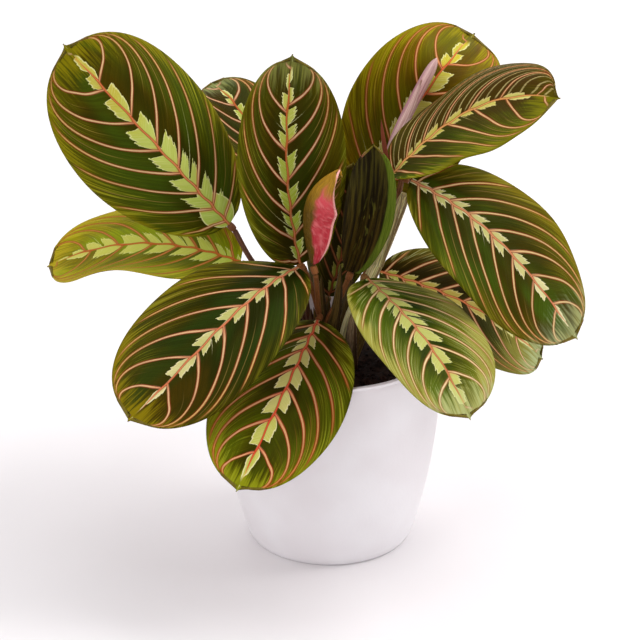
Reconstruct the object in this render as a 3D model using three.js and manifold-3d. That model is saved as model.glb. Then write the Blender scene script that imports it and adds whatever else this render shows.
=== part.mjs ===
// A potted prayer plant: a white tapered pot, dark soil, leafy shoots and patterned oval leaves.
// Units are millimetres, +Z is up, and the pot's underside stands on z = 0 around the Z axis.
import * as THREE from 'three';
import Module from 'manifold-3d';
import { mergeVertices } from 'three/addons/utils/BufferGeometryUtils.js';

const wasm = await Module();
wasm.setup();

// The gap kept between two pieces that touch in the real plant
const GAP = 0.3;

// Pot
const POT_HEIGHT = 123;
const POT_RIM_RADIUS = 65;
const POT_FOOT_RADIUS = 46.5;
const POT_FOOT_EDGE = 1.6;
const POT_WALL = 2.6;
const POT_FLOOR = 3;
const POT_BULGE = 6.2;
const POT_BULGE_LEAN = 0.45;
const POT_GROOVE_DROP = 1.6;
const POT_GROOVE_DEPTH = 0.35;
const POT_LIP_HEIGHT = 0.9;
const POT_LIP_TURN = 0.5;
const POT_SIDES = 36;
const POT_WALL_STEPS = 6;

// Soil
const SOIL_HEIGHT = 109;
const SOIL_BUMP = 1.3;
const SOIL_RING_RADII = [52, 40, 28, 16, 7];
const STEM_DEPTH = 22;
const HOLE_SIDES = 12;
const HOLE_SLACK = 0.6;
const HOLE_RISE = 10;

// Leaf blades: their thickness, their midrib and the ribs between the side veins
const BLADE_THICKNESS = 0.8;
const KEEL_HEIGHT = 1.1;
const KEEL_EDGE = 0.055;
const PLEAT = 0.3;
const MARGIN_SWEEP = 5;
const MARGIN_CREEP = 0.03;
const VEIN_START = 0.035;
const VEIN_STEP = 0.045;
const VEIN_GROWTH = 0.0085;
const FULL_VEINS = 7;
const LAST_VEIN = 0.7;
const FIRST_ROW = 0.007;
const TIP_ROWS = [0.78, 0.9];
const VEIN_LEAN = 0.36;
const VEIN_LEAN_GROWTH = 0.4;
const VEIN_CURVE = 2.6;
const OVAL_END = 0.972;
const OVAL_LEAN = 1.12;
const OVAL_FULLNESS = 0.92;
const POINT_START = 0.94;
const POINT_WIDTH = 0.13;
const POINT_TAPER = 1.15;
const FOLD_FADE = 0.35;
const PLAIN_FOLD = [8, 8];
const PLAIN_CURL = [8, 8];
const PLAIN_WAVE = [1, 2.2, 0];
const RIGHT_WAVE_START = 0.25;
const RIDGE_START = 0.2;
const PLAIN_COLOR = 0x4b5c1c;
const BLADE_COLUMNS = [KEEL_EDGE, 0.38, 0.71, 1];
const ROLLED_COLUMNS = [KEEL_EDGE, 0.3, 0.54, 0.78, 1];

// The leaf that is still a spear: how it narrows to its neck and its end, and the step of its lip
const SPEAR_TAPER = 0.3;
const SPEAR_NECK = 0.35;
const SPEAR_END = 0.6;
const SPEAR_LIP = 0.24;

// Stalks
const STALK_RADIUS = 1.5;
const KNEE_RADIUS = 2.1;
const KNEE_LENGTH = 5;
const STEM_SIDES = 8;
const STEPS_PER_BEND = 2;
const STALK_SIDES = 6;

const vec = (a) => new THREE.Vector3(...a);

function coloured(name, geometry, color, roughness) {
  const material = new THREE.MeshStandardMaterial({ color, roughness, metalness: 0 });
  const mesh = new THREE.Mesh(geometry, material);
  mesh.name = name;
  return mesh;
}

// Turns a closed mesh into a solid that can be joined and cut
function solidOf(geometry) {
  const bare = geometry.clone();
  bare.deleteAttribute('normal');
  bare.deleteAttribute('uv');
  const merged = mergeVertices(bare, 1e-4);
  return new wasm.Manifold(new wasm.Mesh({
    numProp: 3,
    vertProperties: new Float32Array(merged.attributes.position.array),
    triVerts: new Uint32Array(merged.index.array),
  }));
}

function geometryOf(solid) {
  const mesh = solid.getMesh();
  const geometry = new THREE.BufferGeometry();
  geometry.setAttribute('position', new THREE.BufferAttribute(new Float32Array(mesh.vertProperties), 3));
  geometry.setIndex(Array.from(mesh.triVerts));
  geometry.computeVertexNormals();
  return geometry;
}

function lathe(points, sides) {
  const turned = new THREE.LatheGeometry(points.map(([r, z]) => new THREE.Vector2(r, z)), sides);
  return turned.rotateX(Math.PI / 2);
}

// The pot's outer radius: a straight taper with a gentle bulge
function potRadius(z) {
  const h = z / POT_HEIGHT;
  const taper = POT_FOOT_RADIUS + (POT_RIM_RADIUS - POT_FOOT_RADIUS) * h;
  return taper + POT_BULGE * 4 * h * (1 - h) * (1 - POT_BULGE_LEAN * h);
}

function makePot() {
  const profile = [[0, 0], [POT_FOOT_RADIUS - POT_FOOT_EDGE, 0]];
  for (let i = 0; i <= POT_WALL_STEPS; i += 1) {
    const z = POT_FOOT_EDGE + (POT_HEIGHT - 2 * POT_GROOVE_DROP - POT_FOOT_EDGE) * (i / POT_WALL_STEPS);
    profile.push([potRadius(z), z]);
  }
  profile.push([potRadius(POT_HEIGHT - POT_GROOVE_DROP) - POT_GROOVE_DEPTH, POT_HEIGHT - POT_GROOVE_DROP]);
  profile.push([POT_RIM_RADIUS, POT_HEIGHT - POT_LIP_HEIGHT]);
  profile.push([POT_RIM_RADIUS - POT_LIP_TURN, POT_HEIGHT]);
  for (let i = 0; i <= POT_WALL_STEPS; i += 1) {
    const z = POT_HEIGHT - (POT_HEIGHT - POT_FLOOR) * (i / POT_WALL_STEPS);
    profile.push([potRadius(z) - POT_WALL, z]);
  }
  profile.push([0, POT_FLOOR]);
  return coloured('pot', lathe(profile, POT_SIDES), 0xf1eff2, 0.45);
}

// A small rise and fall of the soil, fixed by a formula
function soilBump(x, y) {
  return SOIL_BUMP * (Math.sin(0.21 * x + 0.9) * Math.cos(0.17 * y) + 0.6 * Math.sin(0.47 * x - 0.39 * y));
}

function makeSoil(stems) {
  const profile = [[0, POT_FLOOR + GAP]];
  const rim = POT_WALL_STEPS + 1;
  for (let i = 0; i <= POT_WALL_STEPS; i += 1) {
    const z = POT_FLOOR + GAP + (SOIL_HEIGHT - POT_FLOOR - GAP) * (i / POT_WALL_STEPS);
    profile.push([potRadius(z) - POT_WALL - 2 * GAP, z]);
  }
  for (const r of SOIL_RING_RADII) profile.push([r, SOIL_HEIGHT]);
  profile.push([0, SOIL_HEIGHT]);
  const plug = lathe(profile, POT_SIDES);
  const place = plug.attributes.position;
  for (let i = 0; i < place.count; i += 1) {
    if (i % profile.length > rim) place.setZ(i, SOIL_HEIGHT + soilBump(place.getX(i), place.getY(i)));
  }
  let soil = solidOf(plug);
  const holeHeight = STEM_DEPTH + GAP + HOLE_RISE;
  for (const stem of stems) {
    const radius = stem.radius + HOLE_SLACK;
    const hole = new THREE.CylinderGeometry(radius, radius, holeHeight, HOLE_SIDES);
    hole.rotateX(Math.PI / 2);
    hole.translate(stem.foot[0], stem.foot[1], SOIL_HEIGHT + HOLE_RISE - holeHeight / 2);
    soil = soil.subtract(solidOf(hole));
  }
  return coloured('soil', geometryOf(soil), 0x231a18, 0.95);
}

const veinAt = (k) => VEIN_START + VEIN_STEP * k + VEIN_GROWTH * k * k;
const marginReach = (f) => 1 - Math.max((1 - f) ** MARGIN_SWEEP, MARGIN_CREEP * (1 - f));

// How far along the leaf a vein that leaves the midrib at f has come at r of the half width
function sweep(f, r) {
  const lean = VEIN_LEAN + VEIN_LEAN_GROWTH * f;
  const bend = lean * r + (1 - lean) * r ** VEIN_CURVE;
  return f + (marginReach(f) - f) * bend;
}

// The oval outline as a share of the half width, with a small point at the tip
function outline(x) {
  const u = Math.min(1, x / OVAL_END) ** OVAL_LEAN;
  const oval = Math.sqrt(Math.max(0, 4 * u * (1 - u))) ** OVAL_FULLNESS;
  const point = POINT_WIDTH * (Math.max(0, 1 - x) / (1 - POINT_START)) ** POINT_TAPER;
  return x > POINT_START ? Math.max(oval, point) : oval;
}

// The leaf's own axes: along from base to tip, up out of its upper face, across to its left
function leafAxes(leaf) {
  const base = vec(leaf.base);
  const along = vec(leaf.tip).sub(base);
  const chord = along.length();
  along.normalize();
  const up = vec(leaf.face);
  up.addScaledVector(along, -up.dot(along)).normalize();
  const across = new THREE.Vector3().crossVectors(up, along);
  return { base, along, up, across, chord };
}

function midribPoint(leaf, axes, s) {
  const hump = 4 * s * (1 - s);
  const rise = leaf.arch * hump * (1 + (leaf.skew ?? 0) * (2 * s - 1));
  return axes.base.clone()
    .addScaledVector(axes.along, axes.chord * s)
    .addScaledVector(axes.up, axes.chord * rise)
    .addScaledVector(axes.across, axes.chord * (leaf.bow ?? 0) * hump);
}

function midribFrame(leaf, axes, s) {
  const step = 1e-3;
  const t = midribPoint(leaf, axes, s + step).sub(midribPoint(leaf, axes, s - step)).normalize();
  const n = axes.up.clone().addScaledVector(t, -axes.up.dot(t)).normalize();
  const b = new THREE.Vector3().crossVectors(n, t);
  const turn = THREE.MathUtils.degToRad(leaf.twist ?? 0) * (s - 0.5);
  n.applyAxisAngle(t, -turn);
  b.applyAxisAngle(t, -turn);
  return { t, n, b };
}

// One point of the blade's upper face and the way straight out of it.
// f is where its vein leaves the midrib, r runs from -1 at the right margin to 1 at the left one,
// and ridge lifts the stretches between the veins.
function bladePoint(leaf, axes, f, r, ridge) {
  const side = r < 0 ? -1 : 1;
  const reach = Math.abs(r);
  const x = sweep(f, reach);
  const half = (leaf.width / 2) * (1 + side * (leaf.lop ?? 0));
  const q = outline(x) * reach * half;
  const [foldLeft, foldRight] = leaf.fold ?? PLAIN_FOLD;
  const [curlLeft, curlRight] = leaf.curl ?? PLAIN_CURL;
  const fold = THREE.MathUtils.degToRad(side > 0 ? foldLeft : foldRight) * (1 - FOLD_FADE * x);
  const bend = THREE.MathUtils.degToRad(side > 0 ? curlLeft : curlRight) / (leaf.width / 2);
  const flat = Math.abs(bend) < 1e-9;
  const out = flat ? q * Math.cos(fold) : (Math.sin(fold + bend * q) - Math.sin(fold)) / bend;
  let lift = flat ? q * Math.sin(fold) : (Math.cos(fold) - Math.cos(fold + bend * q)) / bend;
  const [waveHeight, waves, start] = leaf.wave ?? PLAIN_WAVE;
  const phase = waves * x + start + (side < 0 ? RIGHT_WAVE_START : 0);
  lift += waveHeight * reach ** 2 * Math.sin(2 * Math.PI * phase);
  const frame = midribFrame(leaf, axes, x);
  const slope = reach === 0 ? 0 : fold + bend * q;
  const normal = frame.n.clone().multiplyScalar(Math.cos(slope))
    .addScaledVector(frame.b, -side * Math.sin(slope));
  lift += ridge * PLEAT * Math.min(1, reach / RIDGE_START) * (1 - reach ** 2);
  const point = midribPoint(leaf, axes, x)
    .addScaledVector(frame.b, side * out)
    .addScaledVector(frame.n, lift);
  return { point, normal, x };
}

// The rows of a blade follow its veins, with one row on each vein and one between two veins
function bladeRows(leaf) {
  const rows = [{ f: FIRST_ROW, ridge: 0 }];
  const spread = FULL_VEINS / (leaf.veins ?? FULL_VEINS);
  for (let half = 0; veinAt(half * 0.5 * spread) < LAST_VEIN; half += 1) {
    rows.push({ f: veinAt(half * 0.5 * spread), ridge: half % 2 === 0 ? -1 : 1 });
  }
  for (const f of TIP_ROWS) rows.push({ f, ridge: 0 });
  return rows;
}

// Each stretch between two rows and two columns is split across its short way, alike on both faces
function makeBlade(leaf) {
  const axes = leafAxes(leaf);
  const sideColumns = leaf.rolled ? ROLLED_COLUMNS : BLADE_COLUMNS;
  const columns = [...sideColumns.map((r) => -r).reverse(), 0, ...sideColumns];
  const rows = bladeRows(leaf);
  const places = [];
  const add = (p) => places.push(p.x, p.y, p.z) / 3 - 1;
  const pair = (f, r, ridge) => {
    const { point, normal, x } = bladePoint(leaf, axes, f, r, ridge);
    const keel = r === 0 ? KEEL_HEIGHT * (1 - x) : 0;
    return [add(point), add(point.clone().addScaledVector(normal, -BLADE_THICKNESS - keel))];
  };
  const baseEnd = pair(0, 0, 0);
  const tipEnd = pair(1, 0, 0);
  const grid = rows.map((row) => columns.map((r) => pair(row.f, r, row.ridge)));
  const faces = [];
  const last = columns.length - 1;
  const wall = (a, b) => {
    faces.push(a[0], b[0], b[1]);
    faces.push(a[0], b[1], a[1]);
  };
  const leftEdge = [baseEnd, ...grid.map((row) => row[last]), tipEnd];
  const rightEdge = [tipEnd, ...grid.map((row) => row[0]).reverse(), baseEnd];
  for (const edge of [leftEdge, rightEdge]) {
    for (let i = 0; i + 1 < edge.length; i += 1) wall(edge[i], edge[i + 1]);
  }
  const both = (a, b, c) => {
    faces.push(a[0], b[0], c[0]);
    faces.push(a[1], c[1], b[1]);
  };
  for (let j = 0; j < last; j += 1) {
    both(baseEnd, grid[0][j], grid[0][j + 1]);
    both(tipEnd, grid[rows.length - 1][j + 1], grid[rows.length - 1][j]);
  }
  for (let i = 0; i + 1 < rows.length; i += 1) {
    for (let j = 0; j < last; j += 1) {
      const [a, b, c, d] = [grid[i][j], grid[i][j + 1], grid[i + 1][j + 1], grid[i + 1][j]];
      const onRight = j < sideColumns.length;
      both(a, d, onRight ? c : b);
      both(onRight ? a : d, c, b);
    }
  }
  const geometry = new THREE.BufferGeometry();
  geometry.setAttribute('position', new THREE.Float32BufferAttribute(places, 3));
  geometry.setIndex(faces);
  geometry.computeVertexNormals();
  return coloured(leaf.name, geometry, leaf.color ?? PLAIN_COLOR, 0.5);
}

// A leaf that is still rolled up tight: a slim spear with the lip of its roll along one side
function makeSpear(spear) {
  const path = new THREE.CatmullRomCurve3(spear.points.map(vec));
  const places = [];
  const faces = [];
  const { rings, sides } = spear;
  const frames = path.computeFrenetFrames(rings, false);
  for (let i = 0; i <= rings; i += 1) {
    const s = i / rings;
    const neck = 1 - SPEAR_NECK * (1 - s) ** 4;
    const radius = spear.radius * (1 - SPEAR_TAPER * s) * neck * (i === rings ? SPEAR_END : 1);
    const centre = path.getPointAt(s);
    for (let j = 0; j < sides; j += 1) {
      const angle = (2 * Math.PI * j) / sides;
      const r = radius * (1 + SPEAR_LIP * (j / (sides - 1) - 0.5));
      const p = centre.clone()
        .addScaledVector(frames.normals[i], r * Math.cos(angle))
        .addScaledVector(frames.binormals[i], r * Math.sin(angle));
      places.push(p.x, p.y, p.z);
    }
  }
  const at = (i, j) => i * sides + (j % sides);
  for (let i = 0; i < rings; i += 1) {
    for (let j = 0; j < sides; j += 1) {
      faces.push(at(i, j), at(i, j + 1), at(i + 1, j + 1));
      faces.push(at(i, j), at(i + 1, j + 1), at(i + 1, j));
    }
  }
  for (let j = 1; j + 1 < sides; j += 1) {
    faces.push(at(0, 0), at(0, j + 1), at(0, j));
    faces.push(at(rings, 0), at(rings, j), at(rings, j + 1));
  }
  const geometry = new THREE.BufferGeometry();
  geometry.setAttribute('position', new THREE.Float32BufferAttribute(places, 3));
  geometry.setIndex(faces);
  geometry.computeVertexNormals();
  return coloured(spear.name, geometry, spear.color, 0.5);
}

// A round stalk along a smooth curve through the given points
function stalk(points, radius, steps, sides = STALK_SIDES) {
  const section = new THREE.Shape();
  for (let i = 0; i < sides; i += 1) {
    const angle = (2 * Math.PI * i) / sides;
    const corner = [radius * Math.cos(angle), radius * Math.sin(angle)];
    if (i === 0) section.moveTo(...corner);
    else section.lineTo(...corner);
  }
  section.closePath();
  const extrudePath = new THREE.CatmullRomCurve3(points, false, 'centripetal');
  const options = { steps, curveSegments: 1, bevelEnabled: false, extrudePath };
  return solidOf(new THREE.ExtrudeGeometry(section, options));
}

// A shoot: its stem from below the soil, and the stalks that leave it, each ending just short of its leaf
function makeShoot(shoot, leaves) {
  const [x, y] = shoot.foot;
  const ground = new THREE.Vector3(x, y, SOIL_HEIGHT + 2 * SOIL_BUMP);
  const foot = ground.clone().setZ(SOIL_HEIGHT - STEM_DEPTH);
  let body = stalk([foot, ground], shoot.radius, 1, STEM_SIDES);
  body = body.add(stalk([ground, ...shoot.stem.map(vec)], shoot.radius, 2 * shoot.stem.length, STEM_SIDES));
  for (const leaf of leaves.filter((one) => one.shoot === shoot.name)) {
    const { end, along } = stalkEnd(leaf);
    const knee = end.clone().addScaledVector(along, -KNEE_LENGTH);
    const start = leaf.from ? vec(leaf.from) : ground.clone();
    const steps = STEPS_PER_BEND * (leaf.via.length + 2);
    body = body.add(stalk([start, ...leaf.via.map(vec), knee, end], STALK_RADIUS, steps));
    body = body.add(stalk([knee, end], KNEE_RADIUS, 1));
  }
  return coloured(shoot.name, geometryOf(body), shoot.color, 0.6);
}

// Where a leaf's stalk ends: in the middle of the blade's thickness, the gap away from its base
function stalkEnd(leaf) {
  if (leaf.points) {
    const [from, to] = leaf.points.map(vec);
    const along = to.clone().sub(from).normalize();
    return { end: from.clone().addScaledVector(along, -GAP), along };
  }
  const axes = leafAxes(leaf);
  const frame = midribFrame(leaf, axes, 0);
  const end = axes.base.clone()
    .addScaledVector(frame.n, -(BLADE_THICKNESS + KEEL_HEIGHT) / 2)
    .addScaledVector(frame.t, -GAP);
  return { end, along: frame.t };
}

// Leaves as they stand in the photograph, seen from the front (-Y): base and tip of each midrib, the way
// its upper face looks, its width, how far the midrib arches and bows as a share of the leaf's length,
// and per side (left, right) the fold at the midrib and the curl to the margin in degrees.
const LEAVES = [
  {
    name: 'leaf_01', shoot: 'shoot_left', via: [[-14, 6, 132], [-44, 3, 170]],
    base: [-57, 2, 194], tip: [-147, -19, 313], face: [0.32, -0.94, 0.07], width: 88,
    arch: 0.04, fold: [-5, -11], curl: [-3, -29], twist: -3, wave: [1, 2, 0.1],
  },
  {
    name: 'leaf_02', shoot: 'shoot_left', via: [[-12, 9, 130], [-34, 12, 158]], color: 0x8a8a2a,
    base: [-51, 12, 166], tip: [-164, 48, 146], face: [-0.25, -0.28, 0.93], width: 72,
    arch: 0.1, bow: -0.04, fold: [-7, 6], curl: [44, -8], lop: 0.03, wave: [2.2, 1.8, 0.3],
  },
  {
    name: 'leaf_03', shoot: 'shoot_back', via: [[-6, 20, 150]],
    base: [-26, 28, 204], tip: [-69, 85, 246], face: [0.16, -0.51, 0.85], width: 50,
    arch: 0.12, fold: [12, 5], curl: [11, 1], skew: 0.5, veins: 6, wave: [1.6, 2, 0],
  },
  {
    name: 'leaf_04', shoot: 'shoot_left', via: [[-13, 3, 140]],
    base: [-17, 0, 170], tip: [-21, 17, 292], face: [0.13, -0.98, 0.14], width: 67,
    arch: 0.04, bow: 0.05, fold: [31, 8], curl: [6, 8], twist: -3, skew: 0.2, veins: 6, wave: [0.6, 2, 0.2],
  },
  {
    name: 'leaf_05', shoot: 'shoot_centre', via: [[-8, -9, 150]],
    base: [-18, -16, 176], tip: [-112, -103, 123], face: [0.02, -0.54, 0.84], width: 82,
    arch: 0.07, fold: [4, -11], curl: [0, -6], twist: 10, skew: -1.1, lop: -0.09, wave: [0.8, 2, 0.4],
  },
  {
    name: 'leaf_06', shoot: 'shoot_centre', via: [[-3, -6, 128]],
    base: [-7, -14, 142], tip: [-52, -122, 89], face: [0.01, -0.46, 0.89], width: 75,
    arch: 0.07, bow: 0.02, fold: [1, -9], curl: [-3, 5], twist: 2, wave: [0.8, 2, 0.7],
  },
  {
    name: 'leaf_07', shoot: 'shoot_right', via: [[20, 14, 150]],
    base: [18, 48, 190], tip: [83, 84, 277], face: [-0.06, -0.91, 0.41], width: 78,
    arch: 0.27, bow: 0.02, fold: [6, 20], curl: [-2, 8], twist: 2, skew: 1.4, lop: -0.05,
    wave: [1.3, 2, 0.3],
  },
  {
    name: 'leaf_08', shoot: 'shoot_right', from: [34, 3, 188], via: [],
    base: [34, 0, 225], tip: [127, -20, 281], face: [-0.55, -0.14, 0.82], width: 67,
    arch: 0.09, bow: 0.11, fold: [46, -11], curl: [-72, -2], twist: -18, skew: 0.3, veins: 6, lop: -0.08,
  },
  {
    name: 'leaf_09', shoot: 'shoot_right', from: [35, 3, 192], via: [],
    base: [45, -1, 223], tip: [140, -27, 136], face: [0.42, -0.64, 0.65], width: 75,
    arch: 0.1, bow: 0.02, fold: [5, 0], curl: [-6, -6], twist: 5, skew: -0.4, lop: -0.04, veins: 8,
  },
  {
    name: 'leaf_10', shoot: 'shoot_front', via: [[21, -3, 132], [25, 5, 146]],
    base: [28, 12, 160], tip: [123, 18, 101], face: [0.44, -0.61, 0.66], width: 64,
    arch: 0.13, fold: [5, 11], curl: [5, 7], lop: -0.03, wave: [1.8, 2, 0.2],
  },
  {
    name: 'leaf_11', shoot: 'shoot_front', via: [[17, -9, 140]], color: 0x6d8a34,
    base: [21, -14, 168], tip: [77, -111, 128], face: [0.09, -0.33, 0.94], width: 70,
    arch: 0.1, fold: [-1, 8], curl: [-11, 10], twist: -7, skew: 0.3, wave: [1, 2, 0.6],
  },
  {
    name: 'leaf_12', shoot: 'shoot_centre', via: [[-6, -7, 140]], color: 0x9a6a4a, rolled: true,
    base: [-9, -22, 180], tip: [6, -20, 238], face: [0.95, -0.3, 0.05], width: 44,
    arch: -0.22, fold: [30, 38], curl: [120, 28], veins: 5, wave: [0.5, 2, 0],
  },
  {
    name: 'leaf_13', shoot: 'shoot_centre', via: [[-2, -10, 138], [6, -8, 154]], color: 0x2f3014,
    base: [12, -2, 166], tip: [24, -3, 246], face: [0.1, -0.95, 0.1], width: 37,
    arch: 0, bow: -0.05, lop: 0.08, fold: [45, 52], curl: [0, 0], veins: 6, wave: [0.5, 2, 0],
  },
  {
    name: 'leaf_18', shoot: 'shoot_back', via: [[0, 18, 130]], color: 0x4d6420,
    base: [-1, 16, 142], tip: [13, 23, 223], face: [-0.12, -0.98, 0.1], width: 34,
    arch: 0.02, bow: -0.04, fold: [6, 6], curl: [4, 4], veins: 5, wave: [0.4, 2, 0.3],
  },
  {
    name: 'leaf_15', shoot: 'shoot_back', via: [[-4, 26, 155]],
    base: [-6, 52, 196], tip: [22, 150, 188], face: [0, -0.1, 1], width: 58, arch: 0.12,
  },
  {
    name: 'leaf_16', shoot: 'shoot_back', via: [[-8, 22, 140]],
    base: [-20, 38, 192], tip: [-74, 112, 186], face: [-0.1, -0.1, 1], width: 54, arch: 0.14,
  },
  {
    name: 'leaf_17', shoot: 'shoot_back', via: [[12, 34, 150]],
    base: [35, 60, 184], tip: [90, 112, 164], face: [0.2, 0, 1], width: 54, arch: 0.13, veins: 6,
  },
];

const SPEAR = {
  name: 'leaf_14', shoot: 'shoot_right', from: [31, 3, 182], via: [],
  points: [[31, 22, 218], [37, 28, 235], [48, 31, 259], [60, 31, 284]],
  radius: 2.6, rings: 10, sides: 10, color: 0xb98a94,
};

// Where each shoot leaves the soil, and the stem that its stalks leave
const SHOOTS = [
  { name: 'shoot_left', foot: [-10, 5], radius: 3.6, stem: [[-11, 6, 124]], color: 0x6b4f3a },
  { name: 'shoot_centre', foot: [-2, -7], radius: 3.4, stem: [[-3, -7, 122]], color: 0x7a5a34 },
  {
    name: 'shoot_right', foot: [8, 2], radius: 3.9, color: 0x9a8a62,
    stem: [[11, 2, 132], [27, 3, 170], [38, 4, 200], [42, 5, 212]],
  },
  { name: 'shoot_front', foot: [13, -8], radius: 3.2, stem: [[14, -7, 124]], color: 0x6f6a35 },
  { name: 'shoot_back', foot: [0, 18], radius: 3.6, stem: [[0, 19, 126]], color: 0x5f5a35 },
];

const plant = new THREE.Group();
plant.add(makePot());
plant.add(makeSoil(SHOOTS));
const stalked = [...LEAVES, SPEAR];
for (const shoot of SHOOTS) plant.add(makeShoot(shoot, stalked));
for (const leaf of LEAVES) plant.add(makeBlade(leaf));
plant.add(makeSpear(SPEAR));

export default plant;
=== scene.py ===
import math
from types import SimpleNamespace

import bmesh
import bpy
import numpy as np
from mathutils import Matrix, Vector


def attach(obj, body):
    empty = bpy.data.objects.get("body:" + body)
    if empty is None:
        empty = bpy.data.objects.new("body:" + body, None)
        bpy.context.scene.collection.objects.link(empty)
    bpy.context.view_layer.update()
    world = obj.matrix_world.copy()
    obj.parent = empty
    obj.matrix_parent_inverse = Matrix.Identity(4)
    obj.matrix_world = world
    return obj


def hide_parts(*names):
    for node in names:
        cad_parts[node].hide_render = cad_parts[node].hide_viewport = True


# A potted prayer plant. Sizes and places are in millimetres, and what the solids have too repeats
# the CAD source. Every mesh is written in metres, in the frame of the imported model.
MM = 0.001

# Pot and soil
POT_HEIGHT = 123
POT_RIM_RADIUS = 65
POT_FOOT_RADIUS = 46.5
POT_WALL = 2.6
POT_FLOOR = 3
POT_BULGE = 6.2
POT_BULGE_LEAN = 0.45
POT_HOLLOW = 0.6
POT_HOLLOW_RADIUS = 38
POT_RING_INNER = 39.5
POT_RING_OUTER = 44.6
POT_ROUND_WIDTH = 1.9
POT_ROUND_HEIGHT = 1.7
POT_ROUND_TOP = 2.4
POT_GROOVE_DROP = 1.6
POT_GROOVE_DEPTH = 0.35
POT_LIP_HEIGHT = 0.9
POT_LIP_RADIUS = 0.4
POT_TURNS = 144
POT_WALL_ROWS = 40
POT_INSIDE_ROWS = 24
SOIL_HEIGHT = 109
SOIL_BUMP = 1.3
SOIL_GRAIN = (-0.7, 0.5)
SOIL_EDGE = 0.5
SOIL_RINGS = 40
SOIL_TURNS = 120
CRUMBS = 420
CRUMB_SEED = 5
CRUMB_SIZES = (0.7, 2.3)
CRUMB_FLATNESS = (1, 0.7, 0.5)
CRUMB_DENTS = (0.75, 1.2)
CRUMB_LIFT = 0.3
CRUMB_CLEARANCE = 3

# Leaf blades
BLADE_THICKNESS = 0.8
MARGIN_THICKNESS = 0.45
THIN_MARGIN_START = 0.8
KEEL_HEIGHT = 1.1
KEEL_EDGE = 0.055
PLEAT = 0.34
RELIEF_FADE = 0.3
LEFT_SHIFT = 0.18
MARGIN_SWEEP = 5
MARGIN_CREEP = 0.03
VEIN_START = 0.035
VEIN_LEAN = 0.36
VEIN_LEAN_GROWTH = 0.4
VEIN_CURVE = 2.6
OVAL_END = 0.972
OVAL_LEAN = 1.12
OVAL_FULLNESS = 0.92
POINT_START = 0.94
POINT_WIDTH = 0.13
POINT_TAPER = 1.15
FOLD_FADE = 0.35
LEAST_BEND = 1e-7
RIGHT_WAVE_START = 0.25
ROWS_PER_MM = 0.85
MORE_ROWS = 24
COLUMNS_PER_MM = 0.6
MORE_COLUMNS = 6
COLUMN_CROWDING = 1.12
POLE_WELD = 1e-7
LATHE_WELD = 1e-6

# Stalks
STALK_RADIUS = 1.7
KNEE_RADIUS = 2.1
KNEE_LENGTH = 5
KNEE_RINGS = 14
STEM_DEPTH = 22
RINGS_PER_MM = 0.8
START_SIDE = (0.3, 1.0, 0.2)

# The clearance between pieces that don't touch
GAP = 0.3

# The photograph's camera: it looks down at 26 degrees from a long way off
LOOK_AT = Vector((-5.8, 0, 134.9)) * MM
CAMERA_DISTANCE = 2514 * MM
CAMERA_ELEVATION = math.radians(26)
CAMERA_LENS = 247.5
CAMERA_SENSOR = 36

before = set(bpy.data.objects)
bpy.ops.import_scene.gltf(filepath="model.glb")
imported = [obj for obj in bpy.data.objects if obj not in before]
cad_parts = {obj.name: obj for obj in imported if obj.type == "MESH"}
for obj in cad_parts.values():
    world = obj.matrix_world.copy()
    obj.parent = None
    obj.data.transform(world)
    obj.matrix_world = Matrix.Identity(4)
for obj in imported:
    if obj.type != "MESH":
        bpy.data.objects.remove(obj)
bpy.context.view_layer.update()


def tint(*screen):
    """A screen colour, 0 to 255, as the linear colour that a shader takes."""
    linear = [(v / 255 / 12.92) if v <= 10 else ((v / 255 + 0.055) / 1.055) ** 2.4 for v in screen]
    return (*linear, 1)


def scaled(color, *shares):
    """A darker colour: these shares of its red, green and blue."""
    return tint(*(value * share for value, share in zip(color, shares)))


# Node trees written as arithmetic

class Field:
    """A number, a place or a colour that a material works out at each point of a surface."""

    def __init__(self, tree, socket):
        self.tree = tree
        self.socket = socket

    def math(self, operation, *others):
        node = self.tree.nodes.new("ShaderNodeMath")
        node.operation = operation
        for slot, value in zip(node.inputs, (self, *others)):
            put(slot, value)
        return Field(self.tree, node.outputs[0])

    def __add__(self, other):
        return self.math("ADD", other)

    __radd__ = __add__

    def __sub__(self, other):
        return self.math("SUBTRACT", other)

    def __rsub__(self, other):
        return (self * -1) + other

    def __mul__(self, other):
        return self.math("MULTIPLY", other)

    def __truediv__(self, other):
        return self.math("DIVIDE", other)

    def __pow__(self, other):
        return self.math("POWER", other)

    def low(self, other):
        return self.math("MINIMUM", other)

    def high(self, other):
        return self.math("MAXIMUM", other)

    def size(self):
        return self.math("ABSOLUTE")

    def over(self, other):
        return self.math("GREATER_THAN", other)

    def rest(self):
        """What is left above the whole number below it."""
        return self - self.math("FLOOR")

    def rise(self, start, end):
        """0 up to start, 1 from end on, and smooth between them."""
        node = self.tree.nodes.new("ShaderNodeMapRange")
        node.interpolation_type = "SMOOTHSTEP"
        put(node.inputs["Value"], self)
        put(node.inputs["From Min"], start)
        put(node.inputs["From Max"], end)
        return Field(self.tree, node.outputs["Result"])

    def fall(self, start, end):
        return 1 - self.rise(start, end)

    def mix(self, first, second):
        """The second colour over the first one, by this share."""
        node = self.tree.nodes.new("ShaderNodeMix")
        node.data_type = "RGBA"
        for slot, value in zip((0, 6, 7), (self, first, second)):
            put(node.inputs[slot], value)
        return Field(self.tree, node.outputs[2])

    def parts(self):
        node = self.tree.nodes.new("ShaderNodeSeparateXYZ")
        put(node.inputs[0], self)
        return [Field(self.tree, part) for part in node.outputs]


def put(slot, value):
    if isinstance(value, Field):
        value.tree.links.new(value.socket, slot)
    else:
        slot.default_value = value


def attribute(tree, name):
    node = tree.nodes.new("ShaderNodeAttribute")
    node.attribute_name = name
    return Field(tree, node.outputs["Vector"])


def place_on_piece(tree):
    return Field(tree, tree.nodes.new("ShaderNodeTexCoord").outputs["Object"])


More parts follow.
